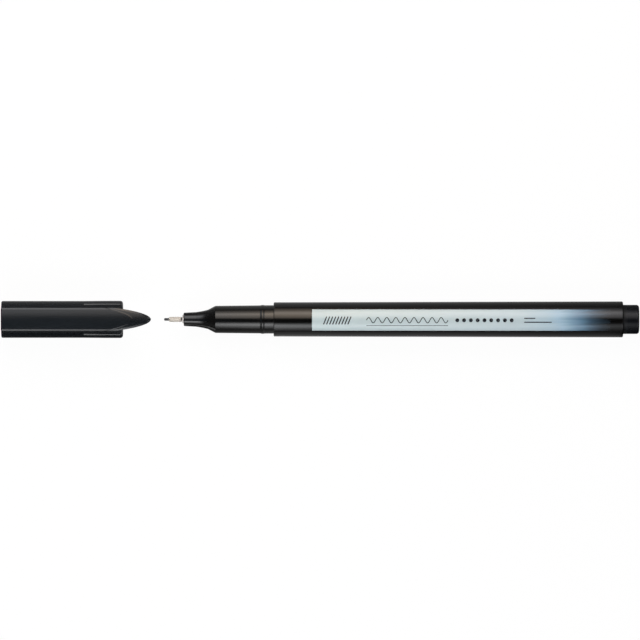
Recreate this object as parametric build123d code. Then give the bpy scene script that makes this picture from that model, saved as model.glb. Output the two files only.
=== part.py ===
"""Fineliner pen, uncapped, with its push-on cap lying on the same axis in front of the point.

Frame: +X runs along the pen from the cap to the tail, +Z is up, and the clip points up.
The origin is at the middle of the whole length, on the surface that the cap lies on.
Stations are distances along the axis: pen stations run from the barrel's front shoulder,
positive towards the tail, and cap stations from the cap's mouth, positive out of the mouth.
"""

import os
from math import cos, radians, sin

from build123d import *

# Lengths along the axis, in millimetres
BARREL_LENGTH = 97.8
POST_LENGTH = 4.5
NOSE_STATION = -25.2
POINT_STATION = -30.66
CAP_LENGTH = 34.03
MOUTH_TO_POINT = 11.53

# Outer radii
BARREL_FRONT_R = 4.8
BARREL_REAR_R = 5.03
COLLAR_R = 3.975
BEAD_R = 4.05
NECK_REAR_R = 3.93
NECK_FRONT_R = 3.8
POST_R = 4.07
CAP_R = 5.15
CAP_MOUTH_R = 5.21

# Fits: the bore that takes the section and the plug, and how far a barb bites into it
BARREL_BORE_R = 3.8
BARB_BITE = 0.03
BARB_LENGTH = 1.2
BARB_BACK = 0.1
SPIGOT_LENGTH = 8.0
SPIGOT_BARB = 5.0
SKIRT_LENGTH = 8.3
SKIRT_BARB = 3.3

# Ink system
RESERVOIR_R = 3.4
FILM = 0.06
RESERVOIR_FRONT = 8.3
RESERVOIR_REAR = 86.0
FEED_R = 0.9
FEED_DEPTH = 4.0

# Barrel ribs that grip the reservoir and keep an air path beside it
RIB_COUNT = 6
RIB_WIDTH = 0.8
RIB_CLEARANCE = 0.02
RIB_ROOT = 0.2
RIB_FRONT = 12.0
RIB_REAR = 86.5

# Section: the moulded front end that carries the point
NECK_FRONT = -16.3
CONE_FRONT = -18.35
CONE_FRONT_R = 2.72
FLARE_FRONT = -21.75
FLARE_FRONT_R = 2.05
FLARE_BEND = -20.05
FLARE_BEND_R = 2.26
NOSE_R = 1.88
NOSE_ROUND = 0.22
BEAD_STATION = -3.08
BEAD_FRONT = 0.7
BEAD_REAR = 0.53
BEAD_CREST = 0.18
SECTION_BORE_R = 2.6
SECTION_BORE_FRONT = -17.0
GUIDE_R = 0.95
FIN = 0.7
FIN_REAR = -1.0

# Point: nickel-silver sleeve in a conical ferrule, with the writing core inside
FERRULE_LENGTH = 0.46
FERRULE_FRONT_R = 0.85
FERRULE_BASE_R = 1.5
FERRULE_STEM_R = 1.05
SEAT_STATION = -21.2
SLEEVE_R = 0.7
SLEEVE_BORE_R = 0.38
SLEEVE_FRONT = -29.31
SLEEVE_TAPER = 0.3
SLEEVE_LIP_R = 0.56
SLEEVE_GROOVE = 0.28
SLEEVE_GROOVE_R = 0.6
POINT_R = 0.37
POINT_ROUND = 0.26

# Tail plug
PLUG_ROUND = 0.7
PLUG_WALL = 0.95
WEB = 0.8
BARREL_REAR_ROUND = 0.4
BARREL_FRONT_CHAMFER = 0.2

# Cap shell and its bore
CAP_BORE_R = 4.1
CAP_END_WALL = 1.3
CAP_END_CHAMFER = 0.25
CAP_FLARE_START = -10.9
CAP_FLARE_END = -5.0
CAP_LIP_ROUND = 0.7
CAP_LEAD_IN = 0.3
SNAP_GROOVE_R = 4.2
SNAP_GROOVE_REACH = 0.75

# Two raised lines on the flared mouth, one on each side of the clip
LINE_ANGLE = 55.0
LINE_CREST_R = 5.36
LINE_ROOT_R = 4.85
LINE_HALF_WIDTH = 0.7

# Cap clip: its outer plan and the plan that its edge facets rise to, with the reach of their end curves
CLIP_OUTER = {"half_width": 3.19, "straight_end": -2.5, "shoulder": 1.5, "tip": 7.92, "nose": 1.9}
CLIP_TOP = {"half_width": 2.2, "straight_end": -2.9, "shoulder": 1.4, "tip": 7.15, "nose": 1.35}
CLIP_GAP = 0.85
CLIP_THICKNESS = 1.35
CLIP_FACET_DROP = 0.42
CLIP_CROWN_R = 16.0
CLIP_NOSE_R = 12.0
CLIP_NOSE_START = 2.66
CLIP_NOSE_FALL = 0.79
CLIP_ROOT_LENGTH = 7.0
CLIP_ROOT_FILLET = 0.6
GRIP_STATION = 3.4
GRIP_R = 1.5
GRIP_WIDTH = 2.4
GRIP_CLEARANCE = 0.3

# Inner seal: the liner that closes over the point, with a thin lip round the section's neck
SEAL_MOUTH = -12.4
SEAL_LEAD_IN = 0.15
SEAL_SEAT_R = 3.89
SEAL_SEAT_END = -17.2
SEAL_NOSE_FRONT = -20.2
SEAL_NOSE_R = 2.6
SEAL_NOSE_END = -28.0
SEAL_POINT_R = 1.6
SEAL_FLOOR = 0.8

# Flats that make up a small rounded edge
ROUND_FLATS = 4

# Places of the two assemblies in the part's frame
OVERALL = CAP_LENGTH + MOUTH_TO_POINT - POINT_STATION + BARREL_LENGTH + POST_LENGTH
MOUTH_X = CAP_LENGTH - OVERALL / 2
SHOULDER_X = MOUTH_X + MOUTH_TO_POINT - POINT_STATION
AXIS_Z = CAP_MOUTH_R
PEN_PLACE = Pos(SHOULDER_X, 0, AXIS_Z)
CAP_PLACE = Pos(MOUTH_X, 0, AXIS_Z)


def turned(outline):
    """Solid of revolution about the pen's axis of a closed outline in (station, radius)."""
    return revolve(make_face(outline), Axis.X)


def rod(front, rear, radius):
    """Plain cylinder on the axis between two stations."""
    return turned(Polyline((front, 0), (rear, 0), (rear, radius), (front, radius), close=True))


def rounded_edge(station, radius, size, way):
    """Outline points from a cylinder round to an end that faces the tail (way 1) or the front (way -1)."""
    turns = [radians(90 * i / ROUND_FLATS) for i in range(ROUND_FLATS + 1)]
    return [(station - way * size * (1 - sin(a)), radius - size * (1 - cos(a))) for a in turns]


def drafted(start, end):
    """Straight side with draft between two outline points."""
    return Bezier(start, end)


def barb(station, way_in, hollow_r):
    """Saw-tooth ring on a pressed-in skirt that slopes towards the way in and bites into the bore."""
    crest = station + way_in * BARB_BACK
    end = station + way_in * BARB_LENGTH
    return turned(
        Polyline(
            (station, hollow_r),
            (station, BARREL_BORE_R),
            (crest, BARREL_BORE_R + BARB_BITE),
            (end, BARREL_BORE_R),
            (end, hollow_r),
            close=True,
        )
    )


def cross_web(front, rear, radius, thickness):
    """Two crossed plates inside a round hollow."""
    plate = Pos((front + rear) / 2, 0, 0) * Box(rear - front, 2 * radius, thickness)
    return (plate + Rot(X=90) * plate) & rod(front, rear, radius)


def make_barrel():
    """Tube with moulding draft and a rounded rear edge, ribbed inside."""
    front_edge = (BARREL_FRONT_CHAMFER, BARREL_FRONT_R)
    rear_edge = rounded_edge(BARREL_LENGTH, BARREL_REAR_R, BARREL_REAR_ROUND, 1)
    tube = turned(
        drafted(front_edge, rear_edge[0])
        + Polyline(
            *rear_edge,
            (BARREL_LENGTH, BARREL_BORE_R),
            (0, BARREL_BORE_R),
            (0, BARREL_FRONT_R - BARREL_FRONT_CHAMFER),
            front_edge,
        )
    )
    rib_inner = RESERVOIR_R + FILM + RIB_CLEARANCE
    rib_outer = BARREL_BORE_R + RIB_ROOT
    rib = Pos((RIB_FRONT + RIB_REAR) / 2, 0, (rib_inner + rib_outer) / 2) * Box(
        RIB_REAR - RIB_FRONT, RIB_WIDTH, rib_outer - rib_inner
    )
    ribs = [Rot(X=360 * i / RIB_COUNT) * rib for i in range(RIB_COUNT)]
    return tube + ribs


def make_front_section():
    """Moulded section: nose, flare, cone, neck, snap bead, collar and the spigot inside the barrel."""
    nose = rounded_edge(NOSE_STATION, NOSE_R, NOSE_ROUND, -1)
    flare_front = (FLARE_FRONT, FLARE_FRONT_R)
    flare_bend = (FLARE_BEND, FLARE_BEND_R)
    cone_front = (CONE_FRONT, CONE_FRONT_R)
    neck_front = (NECK_FRONT, NECK_FRONT_R)
    neck_rear = (BEAD_STATION - BEAD_FRONT, NECK_REAR_R)
    skin = (
        Polyline((SECTION_BORE_FRONT, 0), (NOSE_STATION, 0), *reversed(nose))
        + drafted(nose[0], flare_front)
        + Bezier(flare_front, flare_bend, cone_front)
        + Line(cone_front, neck_front)
        + drafted(neck_front, neck_rear)
        + Polyline(
            neck_rear,
            (BEAD_STATION - BEAD_CREST, BEAD_R),
            (BEAD_STATION + BEAD_CREST, BEAD_R),
            (BEAD_STATION + BEAD_REAR, COLLAR_R),
            (0, COLLAR_R),
            (0, BARREL_BORE_R),
            (SPIGOT_LENGTH, BARREL_BORE_R),
            (SPIGOT_LENGTH, SECTION_BORE_R),
            (SECTION_BORE_FRONT, SECTION_BORE_R),
            (SECTION_BORE_FRONT, 0),
        )
    )
    section = turned(skin) + barb(SPIGOT_BARB, 1, SECTION_BORE_R)
    section += cross_web(SECTION_BORE_FRONT, FIN_REAR, SECTION_BORE_R, FIN)
    section -= rod(NOSE_STATION, SEAT_STATION, FERRULE_STEM_R)
    return section - rod(SEAT_STATION, FIN_REAR, GUIDE_R)


def make_nib_ferrule():
    """Conical metal collar on the nose, with a stem pressed into it."""
    front = NOSE_STATION - FERRULE_LENGTH
    return turned(
        Polyline(
            (front, SLEEVE_R),
            (front, FERRULE_FRONT_R),
            (NOSE_STATION, FERRULE_BASE_R),
            (NOSE_STATION, FERRULE_STEM_R),
            (SEAT_STATION, FERRULE_STEM_R),
            (SEAT_STATION, SLEEVE_R),
            close=True,
        )
    )


def make_nib_sleeve():
    """Thin metal tube that guards the point, drawn in at its front and grooved ahead of the ferrule."""
    groove_rear = NOSE_STATION - FERRULE_LENGTH
    groove_front = groove_rear - SLEEVE_GROOVE
    return turned(
        Polyline(
            (SLEEVE_FRONT, SLEEVE_BORE_R),
            (SLEEVE_FRONT, SLEEVE_LIP_R),
            (SLEEVE_FRONT + SLEEVE_TAPER, SLEEVE_R),
            (groove_front, SLEEVE_R),
            (groove_front, SLEEVE_GROOVE_R),
            (groove_rear, SLEEVE_GROOVE_R),
            (groove_rear, SLEEVE_R),
            (SEAT_STATION, SLEEVE_R),
            (SEAT_STATION, SLEEVE_BORE_R),
            close=True,
        )
    )


def make_nib_core():
    """Writing point, its shank in the sleeve and the capillary rod that runs back into the reservoir."""
    return turned(
        Polyline(
            (POINT_STATION, 0),
            *reversed(rounded_edge(POINT_STATION, POINT_R, POINT_ROUND, -1)),
            (SEAT_STATION, POINT_R),
            (SEAT_STATION, FEED_R),
            (RESERVOIR_FRONT + FEED_DEPTH, FEED_R),
            (RESERVOIR_FRONT + FEED_DEPTH, 0),
            close=True,
        )
    )


def make_ink_reservoir():
    """Fibre rod that holds the ink, pierced at the front by the capillary rod."""
    pierced = rod(RESERVOIR_FRONT, RESERVOIR_FRONT + FEED_DEPTH, FEED_R)
    return rod(RESERVOIR_FRONT, RESERVOIR_REAR, RESERVOIR_R) - pierced


def make_reservoir_film():
    """Plastic film wrapped round the fibre rod."""
    wrap = rod(RESERVOIR_FRONT, RESERVOIR_REAR, RESERVOIR_R + FILM)
    return wrap - rod(RESERVOIR_FRONT, RESERVOIR_REAR, RESERVOIR_R)


def make_tail_plug():
    """Rear plug: a post that takes the cap, a skirt in the barrel and a web that stops the reservoir."""
    rear = BARREL_LENGTH + POST_LENGTH
    skirt_front = BARREL_LENGTH - SKIRT_LENGTH
    hollow_r = BARREL_BORE_R - PLUG_WALL
    hollow_rear = rear - PLUG_WALL
    plug = turned(
        Polyline(
            (skirt_front, hollow_r),
            (skirt_front, BARREL_BORE_R),
            (BARREL_LENGTH, BARREL_BORE_R),
            (BARREL_LENGTH, POST_R),
            *rounded_edge(rear, POST_R, PLUG_ROUND, 1),
            (rear, 0),
            (hollow_rear, 0),
            (hollow_rear, hollow_r),
            close=True,
        )
    )
    plug += barb(BARREL_LENGTH - SKIRT_BARB, -1, hollow_r)
    return plug + cross_web(RESERVOIR_REAR, hollow_rear, hollow_r, WEB)


def clip_outline(level, half_width, straight_end, shoulder, tip, nose):
    """Plan of the clip at one level: straight sides that curve in and meet at a round nose."""
    turn = straight_end + shoulder
    outline = (
        Polyline(
            (straight_end, -half_width),
            (-CAP_LENGTH, -half_width),
            (-CAP_LENGTH, half_width),
            (straight_end, half_width),
        )
        + Bezier((straight_end, half_width), (turn, half_width), (tip, nose), (tip, 0))
        + Bezier((tip, 0), (tip, -nose), (turn, -half_width), (straight_end, -half_width))
    )
    return Pos(0, 0, level) * make_face(outline)


def crown(radius, station, level, fall):
    """Cylinder along the clip: its top line lies at a level at one station and falls towards the nose."""
    cylinder = Pos(0, 0, -radius) * Rot(Y=90) * Cylinder(radius, 4 * CAP_LENGTH)
    return Pos(station, 0, level) * Rot(Y=fall) * cylinder


def make_clip():
    """Clip blade with a crowned top, edge facets and a spear nose, with its root and a grip bump."""
    underside = CAP_R + CLIP_GAP
    top = underside + CLIP_THICKNESS
    facet_foot = top - CLIP_FACET_DROP
    blade = extrude(clip_outline(underside, **CLIP_OUTER), facet_foot - underside)
    blade += loft([clip_outline(facet_foot, **CLIP_OUTER), clip_outline(top, **CLIP_TOP)], ruled=True)
    blade &= crown(CLIP_CROWN_R, 0, top, 0)
    blade &= crown(CLIP_NOSE_R, CLIP_NOSE_START, top, CLIP_NOSE_FALL)
    root = Pos(CLIP_ROOT_LENGTH / 2 - CAP_LENGTH, 0, underside / 2) * Box(
        CLIP_ROOT_LENGTH, 2 * CLIP_OUTER["half_width"], underside
    )
    clip = blade + root
    root_end = CLIP_ROOT_LENGTH - CAP_LENGTH
    inner_edges = clip.edges().filter_by(Axis.Y).filter_by_position(Axis.X, root_end - 0.01, root_end + 0.01)
    clip = fillet(inner_edges.sort_by(Axis.Z)[-1], CLIP_ROOT_FILLET)
    bump_centre = BARREL_FRONT_R + GRIP_CLEARANCE + GRIP_R
    bump = Pos(GRIP_STATION, 0, bump_centre) * Rot(X=90) * Cylinder(GRIP_R, GRIP_WIDTH)
    span = 2 * GRIP_R
    room = Pos(GRIP_STATION, 0, underside + CLIP_THICKNESS / 4 - GRIP_R) * Box(span, span, span)
    return clip + (bump & room)


def make_band_line(way):
    """Raised line along the flared mouth on one side of the clip, triangular in section."""
    left_foot = (-LINE_HALF_WIDTH, LINE_ROOT_R)
    right_foot = (LINE_HALF_WIDTH, LINE_ROOT_R)
    section = Polyline((0, LINE_CREST_R), left_foot, right_foot, close=True)
    start = Plane(origin=(CAP_FLARE_START, 0, 0), x_dir=(0, 1, 0), z_dir=(1, 0, 0))
    line = extrude(start * make_face(section), -CAP_LIP_ROUND - CAP_FLARE_START)
    return Rot(X=way * LINE_ANGLE) * line


def make_cap_shell():
    """Cap moulding: closed at one end, flared a little at the mouth, with the clip in one piece with it."""
    shell = turned(
        Polyline((0, 0), (-CAP_LENGTH, 0), (-CAP_LENGTH, CAP_R), (CAP_FLARE_START, CAP_R))
        + drafted((CAP_FLARE_START, CAP_R), (CAP_FLARE_END, CAP_MOUTH_R))
        + Polyline((CAP_FLARE_END, CAP_MOUTH_R), *rounded_edge(0, CAP_MOUTH_R, CAP_LIP_ROUND, 1), (0, 0))
    )
    shell += make_clip()
    shell += [make_band_line(1), make_band_line(-1)]
    end_face = shell.faces().sort_by(Axis.X)[0]
    shell = chamfer(end_face.edges(), CAP_END_CHAMFER)
    snap_front = BEAD_STATION - SNAP_GROOVE_REACH
    snap_rear = BEAD_STATION + SNAP_GROOVE_REACH
    bore = Polyline(
        (CAP_END_WALL - CAP_LENGTH, 0),
        (CAP_END_WALL - CAP_LENGTH, CAP_BORE_R),
        (snap_front, CAP_BORE_R),
        (BEAD_STATION, SNAP_GROOVE_R),
        (snap_rear, CAP_BORE_R),
        (-CAP_LEAD_IN, CAP_BORE_R),
        (0, CAP_BORE_R + CAP_LEAD_IN),
        (0, 0),
        close=True,
    )
    return shell - turned(bore)


def make_cap_inner_seal():
    """Soft liner in the cap's closed end: a floor, a pocket for the point and a thin lip."""
    floor = CAP_END_WALL - CAP_LENGTH
    pocket_end = floor + SEAL_FLOOR
    return turned(
        Polyline(
            (floor, 0),
            (floor, CAP_BORE_R),
            (SEAL_MOUTH, CAP_BORE_R),
            (SEAL_MOUTH, SEAL_SEAT_R + SEAL_LEAD_IN),
            (SEAL_MOUTH - SEAL_LEAD_IN, SEAL_SEAT_R),
            (SEAL_SEAT_END, SEAL_SEAT_R),
            (SEAL_NOSE_FRONT, SEAL_NOSE_R),
            (SEAL_NOSE_END, SEAL_NOSE_R),
            (SEAL_NOSE_END, SEAL_POINT_R),
            (pocket_end, SEAL_POINT_R),
            (pocket_end, 0),
            close=True,
        )
    )


def main():
    os.makedirs("parts", exist_ok=True)
    pen = {
        "barrel": make_barrel(),
        "front_section": make_front_section(),
        "nib_ferrule": make_nib_ferrule(),
        "nib_sleeve": make_nib_sleeve(),
        "nib_core": make_nib_core(),
        "ink_reservoir": make_ink_reservoir(),
        "reservoir_film": make_reservoir_film(),
        "tail_plug": make_tail_plug(),
    }
    cap = {"cap_shell": make_cap_shell(), "cap_inner_seal": make_cap_inner_seal()}
    for place, pieces in ((PEN_PLACE, pen), (CAP_PLACE, cap)):
        for name, piece in pieces.items():
            export_step(place * piece, f"parts/{name}.step")


main()
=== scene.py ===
"""Looks of the fineliner pen: finishes, the printed panel on the barrel and a white studio."""

import math

import bmesh
import bpy
import numpy as np
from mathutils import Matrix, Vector


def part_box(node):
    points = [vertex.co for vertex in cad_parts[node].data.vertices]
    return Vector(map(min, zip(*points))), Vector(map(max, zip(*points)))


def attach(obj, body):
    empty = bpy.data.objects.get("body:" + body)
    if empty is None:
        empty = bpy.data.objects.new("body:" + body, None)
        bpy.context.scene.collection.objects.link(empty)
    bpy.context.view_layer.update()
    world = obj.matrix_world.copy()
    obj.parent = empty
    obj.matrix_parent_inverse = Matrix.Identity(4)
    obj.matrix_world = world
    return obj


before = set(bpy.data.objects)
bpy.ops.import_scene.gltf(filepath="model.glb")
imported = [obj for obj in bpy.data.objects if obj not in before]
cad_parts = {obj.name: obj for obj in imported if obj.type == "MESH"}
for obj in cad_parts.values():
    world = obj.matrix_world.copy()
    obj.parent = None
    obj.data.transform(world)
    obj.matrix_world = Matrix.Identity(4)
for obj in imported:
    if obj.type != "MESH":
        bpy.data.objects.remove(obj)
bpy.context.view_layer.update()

MM = 0.001

# The pen's axis and the barrel's radius behind and in its front band, read from the frame
FRONT_BAND = 1 * MM
BARREL_LOW, BARREL_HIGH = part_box("barrel")
AXIS_Z = (BARREL_LOW.z + BARREL_HIGH.z) / 2
BARREL_REAR_R = (BARREL_HIGH.z - BARREL_LOW.z) / 2
BARREL_FRONT_R = max(
    math.hypot(point.co.y, point.co.z - AXIS_Z)
    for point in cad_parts["barrel"].data.vertices
    if point.co.x < BARREL_LOW.x + FRONT_BAND
)

# Base colours of the black plastics, the darker and the lighter end of each
GLOSS_BLACK = ((0.0013, 0.0012, 0.0011), (0.0024, 0.0022, 0.0021))
PLUG_BLACK = ((0.003, 0.0036, 0.0048), (0.0046, 0.0056, 0.0072))
CAP_BLACK = ((0.0058, 0.0072, 0.0088), (0.0074, 0.0091, 0.011))

# Moulded plastic: clouds in the pigment, streaks in the polish, and what a shaded matt end adds to
# both: a darker tone as painted shade, and a rougher polish
CLOUD_SIZE = 6 * MM
CLOUD_STRETCH = (3, 1, 1)
STREAK_SIZE = 0.8 * MM
STREAK_STRETCH = (18, 1, 1)
DEEP_SHARE = 0.1
PAINTED_SHADE_TONE = -0.5
MATT_ROUGHNESS = 0.35
PLUG_SEAM = 1.3 * MM

# Noise lies mostly between these values
NOISE_LOW = 0.3
NOISE_HIGH = 0.7

# Ridge on the clip: its tip behind the clip's tip, its bend, and the width and depth of its step
RIDGE_TIP = 5.26 * MM
RIDGE_BEND = 1.33 * MM
RIDGE_SPREAD = 0.54 * MM * MM
RIDGE_DEPTH = 0.033 * MM

# The ridge shows on the clip alone: how far below its top the step begins and is full
RIDGE_BEGINS = 1.0 * MM
RIDGE_FULL = 0.7 * MM

# Turned metal: depth and length of its lines, and the groove in front of the ferrule, painted dark
# for its ink and its shade
TURNED_DEPTH = 0.0004 * MM
TURNED_STRETCH = (1, 200, 200)
GROOVE_WIDTH = 0.28 * MM
GROOVE_EDGE = 0.02 * MM
GROOVE_INK_AND_SHADE = (0.03, 0.03, 0.032)

# Printed panel: place and size on the barrel, skew, height over the barrel, and its mesh
PANEL_START = 10.75 * MM
PANEL_LENGTH = 83.5 * MM
PANEL_HALF_ANGLE = math.radians(37.7)
PANEL_ASIDE = -0.21 * MM
PANEL_SKEW = -0.0007
PANEL_LIFT = 0.02 * MM
PRINT_LIFT = 0.03 * MM
FILM_DEPTH = 0.04 * MM
PANEL_COLUMNS = 60
PANEL_ROWS = 24

# Colour of the panel from its front to its rear end, and how ragged its streaks make that
PANEL_RAGGED = 0.018
PANEL_STOPS = [
    (0.0, (0.475, 0.562, 0.568)),
    (0.47, (0.475, 0.556, 0.568)),
    (0.70, (0.45, 0.54, 0.565)),
    (0.79, (0.385, 0.50, 0.56)),
    (0.83, (0.325, 0.465, 0.565)),
    (0.865, (0.20, 0.32, 0.42)),
    (0.90, (0.105, 0.19, 0.27)),
    (0.933, (0.042, 0.075, 0.11)),
    (0.967, (0.016, 0.026, 0.036)),
    (1.0, (0.003, 0.003, 0.003)),
]

# Marks on the panel in mm: along from its front edge, and across from its middle line
HATCH_COUNT, HATCH_START, HATCH_PITCH, HATCH_LEAN = 9, 3.2, 0.85, 0.9
HATCH_FOOT, HATCH_HEAD, HATCH_WIDTH = -1.2, 1.0, 0.34
WAVE_START, WAVE_END, WAVE_HEIGHT, WAVE_TURNS, WAVE_WIDTH = 15.2, 38, 0.75, 9, 0.24
UNDERLINE_ACROSS, UNDERLINE_WIDTH = -1.55, 0.16
DOT_COUNT, DOT_START, DOT_PITCH, DOT_RADIUS, DOT_SIDES = 9, 40.6, 1.9, 0.55, 20
RULE_START, UPPER_RULE_END, LOWER_RULE_END, RULE_ACROSS, RULE_WIDTH = 59.3, 62.4, 67.0, 0.55, 0.3
TANGENT_STEP = 0.01

# Camera: straight above, far enough that the pen shows little perspective
PICTURE_WIDTH = 179.2 * MM
CAMERA_HEIGHT = 3.0
CAMERA_OFFSET = Vector((-0.065, -0.17, 0)) * MM

# Floor: share of plain white that the camera and gloss see, and the lit surface's grey for each
FLOOR_REACH = 20.0
WHITE_SEEN = 0.96
WHITE_MIRRORED = 0.25
FLOOR_SEEN = 0.95
FLOOR_GREY = 0.4

# Glowing cards on the floor that show in gloss alone, a painted reflection of the floor: glow
# level against the place along the pen in mm
CARD_WIDTH = 0.6
CARD_LIFT = 0.05 * MM
CARD_COLUMNS = 300
UPPER_CARD_GLOW = [
    (-300, 0.25), (-51, 0.33), (-49, 0.9), (-46.5, 0.9), (-45, 0.05), (-40, 0.05), (-38, 0.45),
    (-25, 0.55), (10, 0.52), (84, 0.3), (87, 0.15), (300, 0.15),
]
LOWER_CARD_GLOW = [
    (-300, 0.05), (-50, 0.05), (-47, 1.8), (-39.5, 1.8), (-37.8, 0.12), (-28, 0.24), (-15, 0.32),
    (-12, 0.6), (30, 0.5), (84, 0.3), (86, 0.02), (300, 0.02),
]

# Softboxes: distance from the pen's axis; the fill hangs lower, because sheets hide each other
BOX_DISTANCE = 0.5
FILL_DISTANCE = 0.45
BOX_COLUMNS = 120
BOX_ROWS = 48

# Brightness of each softbox against the angle from overhead in degrees
UPPER_PROFILE = [
    (3, 0), (13, 0.4), (27, 0.65), (41, 1), (48, 0.95), (56, 0.5), (71, 0.2), (86, 0),
]
LOWER_PROFILE = [
    (21, 0), (27, 0.15), (41, 0.92), (48, 1), (56, 0.68), (64, 0.36), (80, 0.1), (88, 0),
]
FRONT_PROFILE = [(24, 0), (34, 0.9), (40, 1), (44, 0.68), (48, 0.42), (58, 0.2), (70, 0)]
OVERHEAD_PROFILE = [(-3, 1), (24, 1)]
FILL_PROFILE = [(58, 0), (74, 1), (88, 0)]

# Lamps along each softbox: colour, then where it begins, is full, begins to fade and ends, in mm
UPPER_LAMPS = [
    ((5.7, 5.8, 6.0), (-260, -200, -64, -8)),
    ((2.6, 2.7, 2.9), (-61, 0, 79, 131)),
    ((7.0, 5.1, 3.1), (-52, -10, 0, 52)),
    ((5.8, 5.5, 5.6), (0, 52, 82, 108)),
]
LOWER_LAMPS = [
    ((4.6, 4.7, 4.9), (-48, -36, 63, 103)),
    ((9.0, 9.0, 8.9), (-48, -36, -30, -12)),
]
FRONT_LAMPS = [((10.0, 10.1, 10.3), (-240, -180, -85, -55))]
UPPER_END_LAMPS = [((5.6, 5.6, 5.7), (150, 260, 420, 520))]
LOWER_END_LAMPS = [((3.4, 3.4, 3.5), (150, 260, 420, 520))]
OVERHEAD_LAMPS = [((0.22, 0.28, 0.34), (-320, -260, -60, -46))]
FILL_LAMPS = [((8.0, 8.5, 9.0), (-20, 20, 90, 140))]

# World: its level at the horizon and towards the zenith, and the height at which that is reached
WORLD_HORIZON = 0.3
WORLD_ZENITH = 0.01
WORLD_TOP = 0.9


class Graph:
    """Node tree of a material or a world, built node by node."""

    def __init__(self, owner):
        owner.use_nodes = True
        self.tree = owner.node_tree

    def add(self, kind, inputs=None, **settings):
        """A new node, with its settings and with values or links on its inputs."""
        node = self.tree.nodes.new(kind)
        for key, value in settings.items():
            setattr(node, key, value)
        for key, value in (inputs or {}).items():
            self.join(value, node.inputs[key])
        return node

    def join(self, value, socket):
        """Links an output to a socket, or sets the socket to a plain value."""
        if isinstance(value, bpy.types.NodeSocket):
            self.tree.links.new(value, socket)
        else:
            socket.default_value = value

    def calc(self, operation, *values):
        """Result of one step of arithmetic."""
        node = self.add("ShaderNodeMath", dict(enumerate(values)), operation=operation)
        return node.outputs[0]

    def remap(self, value, start, end, low, high, **settings):
        """Goes from low to high as a value goes from start to end."""
        ends = {
            "Value": value, "From Min": start, "From Max": end, "To Min": low, "To Max": high,
        }
        return self.add("ShaderNodeMapRange", ends, **settings).outputs["Result"]


class Surface(Graph):
    """A Principled material."""

    def __init__(self, name):
        self.material = bpy.data.materials.new(name)
        super().__init__(self.material)
        self.shader = self.tree.nodes["Principled BSDF"]
        self.place = self.add("ShaderNodeTexCoord").outputs["Object"]

    def set(self, **inputs):
        """Sets shader sockets; underscores in the names stand for spaces."""
        for key, value in inputs.items():
            self.join(value, self.shader.inputs[key.replace("_", " ")])

    def split(self):
        """The place on the piece as three values, X, Y and Z."""
        return self.add("ShaderNodeSeparateXYZ", {"Vector": self.place}).outputs

    def noise(self, size, stretch=(1, 1, 1), detail=3.0):
        """Soft noise with marks of about the given size, longer where the stretch is larger."""
        scale = [1 / (size * s) for s in stretch]
        scaled = self.add("ShaderNodeMapping", {"Vector": self.place, "Scale": scale})
        inputs = {"Vector": scaled.outputs[0], "Scale": 1.0, "Detail": detail}
        return self.add("ShaderNodeTexNoise", inputs).outputs["Fac"]

    def between(self, value, low, high):
        """Spreads a noise value over a range."""
        return self.remap(value, NOISE_LOW, NOISE_HIGH, low, high)

    def along(self, start, end, low=0.0, high=1.0, clamp=True):
        """Goes from low to high between two places along the pen."""
        return self.remap(self.split()["X"], start, end, low, high, clamp=clamp)

    def sum(self, first, second):
        """Sum of two values."""
        return self.calc("ADD", first, second)

    def ramp(self, value, stops):
        """Colour that runs through the stops as the value goes from 0 to 1."""
        node = self.add("ShaderNodeValToRGB", {"Fac": value})
        points = node.color_ramp.elements
        while len(points) < len(stops):
            points.new(0.5)
        for point, (position, colour) in zip(points, stops):
            point.position = position
            point.color = (*colour, 1)
        return node.outputs["Color"]

    def relief(self, height, depth):
        """Bump of a given depth in metres, on top of the bumps that are there."""
        bump = self.add("ShaderNodeBump", {"Height": height, "Distance": depth, "Strength": 1.0})
        for link in self.shader.inputs["Normal"].links:
            self.join(link.from_socket, bump.inputs["Normal"])
        self.set(Normal=bump.outputs["Normal"])


def moulded_plastic(
    name, dark, light, *, roughness, gloss, grain_size, grain_depth, shaded_matt_end=None, form=None
):
    """Moulded plastic: clouded pigment, uneven gloss, a fine grain and perhaps a matt end darkened
    with painted shade.
    """
    surface = Surface(name)
    tone = surface.between(surface.noise(CLOUD_SIZE, CLOUD_STRETCH), low=0.5, high=1)
    polish = surface.between(surface.noise(STREAK_SIZE, STREAK_STRETCH), *roughness)
    if shaded_matt_end:
        # Painted shade: the tone darkens towards the start of the shaded end, and the polish grows
        # rougher there
        tone = surface.sum(tone, surface.along(*shaded_matt_end, low=PAINTED_SHADE_TONE, high=0.0))
        polish = surface.sum(polish, surface.along(*shaded_matt_end, low=MATT_ROUGHNESS, high=0.0))
    deep = [DEEP_SHARE * level for level in dark]
    surface.set(Base_Color=surface.ramp(tone, [(0, deep), (0.5, dark), (1, light)]))
    surface.set(Roughness=polish, Specular_IOR_Level=gloss)
    if form:
        form(surface)
    grain = surface.noise(grain_size, stretch=(2, 1, 1), detail=2.0)
    surface.relief(grain, grain_depth)
    return surface.material


def clip_ridge(surface):
    """Small step down outside the curve where the clip's crown meets its nose."""
    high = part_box("cap_shell")[1]
    place = surface.split()
    bend = surface.calc("MULTIPLY", place["Y"], place["Y"])
    origin = -RIDGE_BEND * (high.x - RIDGE_TIP)
    curve = surface.sum(bend, surface.calc("MULTIPLY_ADD", place["X"], RIDGE_BEND, origin))
    step = surface.remap(
        curve, -RIDGE_SPREAD, RIDGE_SPREAD, 1.0, 0.0, interpolation_type="SMOOTHSTEP"
    )
    above = surface.remap(place["Z"], high.z - RIDGE_BEGINS, high.z - RIDGE_FULL, 0.0, 1.0)
    surface.relief(surface.calc("MULTIPLY", step, above), RIDGE_DEPTH)


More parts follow.
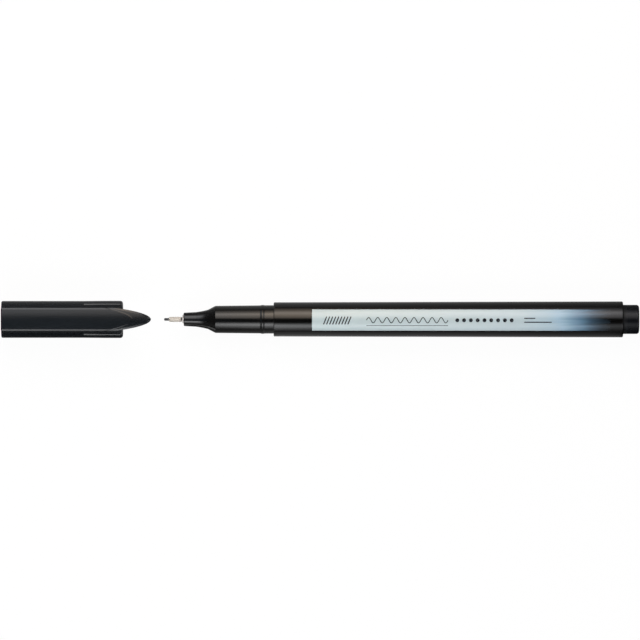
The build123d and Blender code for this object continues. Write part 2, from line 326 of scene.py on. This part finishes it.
def turned_metal(name, dark, light, *, roughness, line_size, groove=None):
    """Turned metal: fine lines round the axis, and perhaps a groove painted dark for ink and
    shade.
    """
    surface = Surface(name)
    lines = surface.noise(line_size, TURNED_STRETCH, detail=2.0)
    tone = surface.between(lines, low=0, high=0.5)
    # Groove: dark ink colour that also serves as painted shade in the groove
    if groove:
        front, rear = groove
        tone = surface.sum(tone, surface.along(front - GROOVE_EDGE, front, high=0.5))
        tone = surface.sum(tone, surface.along(rear, rear + GROOVE_EDGE, high=-0.5))
    stops = [(0, dark), (0.5, light), (0.52, GROOVE_INK_AND_SHADE), (1, GROOVE_INK_AND_SHADE)]
    surface.set(Base_Color=surface.ramp(tone, stops), Metallic=1.0)
    surface.set(Roughness=surface.between(surface.noise(size=0.3 * MM), *roughness))
    surface.relief(lines, TURNED_DEPTH)
    return surface.material


def ink_soaked(name, dark, light, *, fibre_size, stretch):
    """Ink-soaked fibre or porous plastic: matt, with a directional grain."""
    surface = Surface(name)
    fibres = surface.noise(fibre_size, stretch, detail=5.0)
    tone = surface.between(fibres, low=0, high=1)
    surface.set(Base_Color=surface.ramp(tone, [(0, dark), (1, light)]))
    surface.set(Roughness=surface.between(fibres, low=0.45, high=0.75))
    surface.relief(fibres, depth=0.03 * MM)
    return surface.material


def clear_film(name):
    """Clear wrap with small creases."""
    surface = Surface(name)
    creases = surface.noise(size=2 * MM, stretch=(4, 1, 1))
    stops = [(0, (0.75, 0.78, 0.82)), (1, (0.88, 0.9, 0.92))]
    surface.set(Base_Color=surface.ramp(creases, stops))
    polish = surface.between(creases, low=0.05, high=0.2)
    surface.set(Roughness=polish, Transmission_Weight=0.85)
    surface.relief(creases, depth=0.02 * MM)
    return surface.material


def soft_polythene(name):
    """Natural polythene: milky, waxy, with a faint mould texture."""
    surface = Surface(name)
    stops = [(NOISE_LOW, (0.74, 0.74, 0.71)), (NOISE_HIGH, (0.84, 0.84, 0.82))]
    surface.set(Base_Color=surface.ramp(surface.noise(size=2.5 * MM), stops))
    polish = surface.between(surface.noise(size=0.5 * MM), low=0.38, high=0.5)
    surface.set(Roughness=polish)
    surface.relief(surface.noise(size=0.25 * MM), depth=0.004 * MM)
    return surface.material


def panel_print(name):
    """Printed panel: pale silver that runs through blue into black in uneven streaks."""
    surface = Surface(name)
    start = BARREL_LOW.x + PANEL_START
    place = surface.along(start, start + PANEL_LENGTH, clamp=False)
    streaks = surface.noise(size=0.9 * MM, stretch=(30, 1, 1), detail=4.0)
    ragged = surface.sum(place, surface.between(streaks, -PANEL_RAGGED, PANEL_RAGGED))
    surface.set(Base_Color=surface.ramp(ragged, PANEL_STOPS))
    polish = surface.between(surface.noise(STREAK_SIZE, STREAK_STRETCH), low=0.14, high=0.2)
    surface.set(Roughness=polish, Specular_IOR_Level=0.3)
    return surface.material


def printing_ink(name):
    """Dark printing ink, a little uneven."""
    surface = Surface(name)
    patches = surface.noise(size=0.4 * MM)
    stops = [(NOISE_LOW, (0.008, 0.01, 0.013)), (NOISE_HIGH, (0.02, 0.024, 0.03))]
    surface.set(Base_Color=surface.ramp(patches, stops))
    surface.set(Roughness=surface.between(patches, low=0.2, high=0.35))
    return surface.material


def finish_nodes():
    """Gives every CAD node its material."""
    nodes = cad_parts
    ferrule_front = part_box("nib_ferrule")[0].x
    looks = {
        "barrel": moulded_plastic(
            "barrel_black", *GLOSS_BLACK, roughness=(0.14, 0.2), gloss=0.3,
            grain_size=0.4 * MM, grain_depth=0.0008 * MM,
        ),
        "front_section": moulded_plastic(
            "section_black", *GLOSS_BLACK, roughness=(0.13, 0.19), gloss=0.3,
            grain_size=0.4 * MM, grain_depth=0.0008 * MM,
        ),
        "tail_plug": moulded_plastic(
            "plug_black", *PLUG_BLACK, roughness=(0.2, 0.27), gloss=0.155,
            grain_size=0.2 * MM, grain_depth=0.003 * MM,
            # Painted shade on the plug where it meets the barrel, with a rougher polish there
            shaded_matt_end=(BARREL_HIGH.x, BARREL_HIGH.x + PLUG_SEAM),
        ),
        "cap_shell": moulded_plastic(
            "cap_black", *CAP_BLACK, roughness=(0.17, 0.23), gloss=0.26,
            grain_size=0.2 * MM, grain_depth=0.0012 * MM, form=clip_ridge,
        ),
        "nib_ferrule": turned_metal(
            "ferrule_metal", (0.82, 0.79, 0.77), (0.92, 0.89, 0.87),
            roughness=(0.74, 0.82), line_size=0.05 * MM,
        ),
        "nib_sleeve": turned_metal(
            "sleeve_metal", (0.635, 0.595, 0.545), (0.675, 0.635, 0.58),
            roughness=(0.84, 0.9), line_size=0.04 * MM,
            # The groove is painted dark: ink, and painted shade
            groove=(ferrule_front - GROOVE_WIDTH, ferrule_front),
        ),
        "nib_core": ink_soaked(
            "nib_black", (0.006, 0.006, 0.007), (0.02, 0.02, 0.022),
            fibre_size=0.05 * MM, stretch=(6, 1, 1),
        ),
        "ink_reservoir": ink_soaked(
            "reservoir_fibre", (0.02, 0.02, 0.025), (0.07, 0.07, 0.085),
            fibre_size=0.1 * MM, stretch=(40, 1, 1),
        ),
        "reservoir_film": clear_film("film_clear"),
        "cap_inner_seal": soft_polythene("seal_white"),
    }
    for name, look in looks.items():
        nodes[name].data.materials.clear()
        nodes[name].data.materials.append(look)


def on_barrel(along, across, lift):
    """Point over the barrel: along from the panel's front edge, and across round the barrel."""
    x = BARREL_LOW.x + PANEL_START + along
    share = (x - BARREL_LOW.x) / (BARREL_HIGH.x - BARREL_LOW.x)
    radius = BARREL_FRONT_R + (BARREL_REAR_R - BARREL_FRONT_R) * share
    turn = (PANEL_ASIDE + PANEL_SKEW * along + across) / radius
    return Vector((x, (radius + lift) * math.sin(turn), AXIS_Z + (radius + lift) * math.cos(turn)))


def film(name, build, material, body):
    """A thin piece on the barrel: build fills its upper skin, and a modifier gives it depth."""
    mesh = bpy.data.meshes.new(name)
    bm = bmesh.new()
    build(bm)
    for face in bm.faces:
        face.smooth = True
    for edge in bm.edges:
        edge.smooth = not edge.is_boundary
    bm.to_mesh(mesh)
    bm.free()
    mesh.materials.append(material)
    piece = bpy.data.objects.new(name, mesh)
    bpy.context.scene.collection.objects.link(piece)
    depth = piece.modifiers.new("depth", "SOLIDIFY")
    depth.thickness = FILM_DEPTH
    depth.offset = -1
    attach(piece, body)


def sheet(bm, columns, rows, place):
    """Grid of faces; place turns shares of the two sides into a point."""
    points = [
        [bm.verts.new(place(i / columns, j / rows)) for j in range(rows + 1)]
        for i in range(columns + 1)
    ]
    for i in range(columns):
        for j in range(rows):
            here, beside = points[i], points[i + 1]
            bm.faces.new((here[j], beside[j], beside[j + 1], here[j + 1]))


def panel_skin(bm):
    """The panel's skin over the top of the barrel."""
    half = PANEL_HALF_ANGLE * BARREL_FRONT_R

    def place(s, t):
        return on_barrel(s * PANEL_LENGTH, half * (2 * t - 1), PANEL_LIFT)

    sheet(bm, PANEL_COLUMNS, PANEL_ROWS, place)


def stroke(bm, route, width, steps):
    """Ribbon of ink along a route, which gives a place in mm for each share of its length."""

    def place(s, t):
        along, across = route(s)
        before = route(max(s - TANGENT_STEP, 0))
        after = route(min(s + TANGENT_STEP, 1))
        run = Vector((after[0] - before[0], after[1] - before[1])).normalized()
        side = width * (t - 0.5)
        return on_barrel((along - run.y * side) * MM, (across + run.x * side) * MM, PRINT_LIFT)

    sheet(bm, steps, 1, place)


def line(start, end):
    """Straight route between two places."""
    return lambda s: (start[0] + (end[0] - start[0]) * s, start[1] + (end[1] - start[1]) * s)


def wave(start, end, height, turns):
    """Wavy route about the middle line."""
    return lambda s: (start + (end - start) * s, height * math.sin(2 * math.pi * turns * s))


def dot(bm, along, radius):
    """Round spot of ink on the middle line."""
    rim = []
    for i in range(DOT_SIDES):
        turn = 2 * math.pi * i / DOT_SIDES
        x, y = along + radius * math.cos(turn), radius * math.sin(turn)
        rim.append(bm.verts.new(on_barrel(x * MM, y * MM, PRINT_LIFT)))
    middle = bm.verts.new(on_barrel(along * MM, 0, PRINT_LIFT))
    for i, point in enumerate(rim):
        bm.faces.new((middle, rim[i - 1], point))


def print_marks(bm):
    """Generic pen strokes in place of lettering: a hatch, a wave over a rule, dots and rules."""
    for i in range(HATCH_COUNT):
        foot = HATCH_START + HATCH_PITCH * i
        route = line((foot, HATCH_FOOT), (foot + HATCH_LEAN, HATCH_HEAD))
        stroke(bm, route, HATCH_WIDTH, steps=10)
    stroke(bm, wave(WAVE_START, WAVE_END, WAVE_HEIGHT, WAVE_TURNS), WAVE_WIDTH, steps=240)
    underline = line((WAVE_START, UNDERLINE_ACROSS), (WAVE_END, UNDERLINE_ACROSS))
    stroke(bm, underline, UNDERLINE_WIDTH, steps=40)
    for i in range(DOT_COUNT):
        dot(bm, DOT_START + DOT_PITCH * i, DOT_RADIUS)
    upper_rule = line((RULE_START, RULE_ACROSS), (UPPER_RULE_END, RULE_ACROSS))
    stroke(bm, upper_rule, RULE_WIDTH, steps=8)
    lower_rule = line((RULE_START, -RULE_ACROSS), (LOWER_RULE_END, -RULE_ACROSS))
    stroke(bm, lower_rule, RULE_WIDTH, steps=16)


def floor_material():
    """Pale floor: mostly plain white to the camera, partly in gloss, with the pen's shadow."""
    material = bpy.data.materials.new("studio_floor")
    graph = Graph(material)
    graph.tree.nodes.clear()
    ray = graph.add("ShaderNodeLightPath").outputs
    mirrored = graph.calc("MAXIMUM", ray["Is Glossy Ray"], ray["Is Transmission Ray"])
    seen = graph.calc("MULTIPLY", ray["Is Camera Ray"], WHITE_SEEN)
    share = graph.calc("MULTIPLY_ADD", mirrored, WHITE_MIRRORED, seen)
    grey = graph.remap(ray["Is Camera Ray"], 0.0, 1.0, FLOOR_GREY, FLOOR_SEEN)
    matt = graph.add("ShaderNodeBsdfDiffuse", {"Color": grey})
    white = graph.add("ShaderNodeEmission")
    mix = graph.add(
        "ShaderNodeMixShader", {"Fac": share, 1: matt.outputs[0], 2: white.outputs[0]}
    )
    graph.add("ShaderNodeOutputMaterial", {"Surface": mix.outputs[0]})
    return material


def stage_sheet(name, columns, rows, place, material):
    """A staging surface: floor, card or softbox."""
    mesh = bpy.data.meshes.new(name)
    bm = bmesh.new()
    sheet(bm, columns, rows, place)
    bm.to_mesh(mesh)
    bm.free()
    mesh.materials.append(material)
    piece = bpy.data.objects.new(name, mesh)
    bpy.context.scene.collection.objects.link(piece)
    return piece


def make_floor():
    """Wide flat floor under the pen."""

    def place(s, t):
        return (FLOOR_REACH * (2 * s - 1), FLOOR_REACH * (2 * t - 1), 0)

    stage_sheet("floor", 1, 1, place, floor_material())


def soft_step(value, start, end):
    """Goes smoothly from 0 at the start to 1 at the end."""
    share = min(max((value - start) / (end - start), 0), 1)
    return share * share * (3 - 2 * share)


def glow(x, angle, profile, lamps):
    """Colour of a softbox at a place along it in mm and an angle from overhead."""
    level = np.interp(angle, *zip(*profile))
    total = np.zeros(3)
    for colour, (start, full, fade, end) in lamps:
        total += np.array(colour) * soft_step(x, start, full) * (1 - soft_step(x, fade, end))
    return level * total


def glow_material(name):
    """Light that takes its colour from the sheet's painted glow."""
    material = bpy.data.materials.new(name)
    graph = Graph(material)
    graph.tree.nodes.clear()
    colour = graph.add("ShaderNodeAttribute", attribute_name="glow")
    lamp = graph.add("ShaderNodeEmission", {"Color": colour.outputs["Color"]})
    graph.add("ShaderNodeOutputMaterial", {"Surface": lamp.outputs[0]})
    return material


def paint_glow(piece, colour_at):
    """Paints a sheet's glow, given its colour for each point, and hides it from the camera."""
    levels = piece.data.attributes.new("glow", "FLOAT_COLOR", "POINT")
    for vertex in piece.data.vertices:
        levels.data[vertex.index].color = (*colour_at(vertex.co), 1)
    piece.visible_camera = False


def softbox(name, side, profile, lamps, distance=BOX_DISTANCE, gloss=True, matt=True):
    """Curved softbox along the pen, on the upper (side 1) or lower side (-1) of the picture."""
    front = min(reach[0] for _, reach in lamps) * MM
    rear = max(reach[3] for _, reach in lamps) * MM
    low, high = profile[0][0], profile[-1][0]

    def place(s, t):
        turn = math.radians(low + (high - low) * t)
        x = front + (rear - front) * s
        return (x, side * distance * math.sin(turn), AXIS_Z + distance * math.cos(turn))

    def colour_at(point):
        angle = math.degrees(math.atan2(side * point.y, point.z - AXIS_Z))
        return glow(point.x / MM, angle, profile, lamps)

    box = stage_sheet(name, BOX_COLUMNS, BOX_ROWS, place, glow_material(name))
    paint_glow(box, colour_at)
    box.visible_glossy = gloss
    box.visible_diffuse = matt


def reflection_card(name, side, levels):
    """Glowing card on the floor beside the pen, seen in reflections alone: a painted reflection.
    """
    front, rear = levels[0][0] * MM, levels[-1][0] * MM

    def place(s, t):
        return (front + (rear - front) * s, side * CARD_WIDTH * t, CARD_LIFT)

    def colour_at(point):
        return [np.interp(point.x / MM, *zip(*levels))] * 3

    card = stage_sheet(name, CARD_COLUMNS, 1, place, glow_material(name))
    paint_glow(card, colour_at)
    card.visible_diffuse = False
    card.visible_transmission = False
    card.visible_shadow = False


def light_stage():
    """Softboxes on both sides; the end and overhead ones show in gloss alone, the fill never."""
    softbox("softbox_upper", 1, UPPER_PROFILE, UPPER_LAMPS)
    softbox("softbox_lower", -1, LOWER_PROFILE, LOWER_LAMPS)
    softbox("softbox_front", -1, FRONT_PROFILE, FRONT_LAMPS)
    softbox("softbox_upper_end", 1, UPPER_PROFILE, UPPER_END_LAMPS, matt=False)
    softbox("softbox_lower_end", -1, LOWER_PROFILE, LOWER_END_LAMPS, matt=False)
    softbox("softbox_overhead", -1, OVERHEAD_PROFILE, OVERHEAD_LAMPS, matt=False)
    softbox("softbox_fill", -1, FILL_PROFILE, FILL_LAMPS, FILL_DISTANCE, gloss=False)
    # Painted reflections: glowing cards on the floor that only gloss sees
    reflection_card("reflection_card_upper", 1, UPPER_CARD_GLOW)
    reflection_card("reflection_card_lower", -1, LOWER_CARD_GLOW)


def light_world():
    """World that is pale at the horizon and dark overhead."""
    world = bpy.data.worlds.new("studio")
    bpy.context.scene.world = world
    graph = Graph(world)
    place = graph.add("ShaderNodeTexCoord").outputs["Generated"]
    height = graph.add("ShaderNodeSeparateXYZ", {"Vector": place}).outputs["Z"]
    level = graph.remap(height, 0.0, WORLD_TOP, WORLD_HORIZON, WORLD_ZENITH)
    background = graph.tree.nodes["Background"]
    graph.join(level, background.inputs["Strength"])
    graph.join((1, 1, 1, 1), background.inputs["Color"])


def make_camera():
    """Camera over the pen that frames it as the photograph does."""
    data = bpy.data.cameras.new("camera")
    data.angle = 2 * math.atan(PICTURE_WIDTH / 2 / CAMERA_HEIGHT)
    camera = bpy.data.objects.new("camera", data)
    camera.location = CAMERA_OFFSET + Vector((0, 0, AXIS_Z + CAMERA_HEIGHT))
    bpy.context.scene.collection.objects.link(camera)
    bpy.context.scene.camera = camera


finish_nodes()
film("printed_panel", panel_skin, panel_print("panel_silver"), "pen")
film("panel_strokes", print_marks, printing_ink("panel_ink"), "pen")
make_floor()
light_stage()
light_world()
make_camera()
bpy.context.scene.view_settings.view_transform = "Standard"
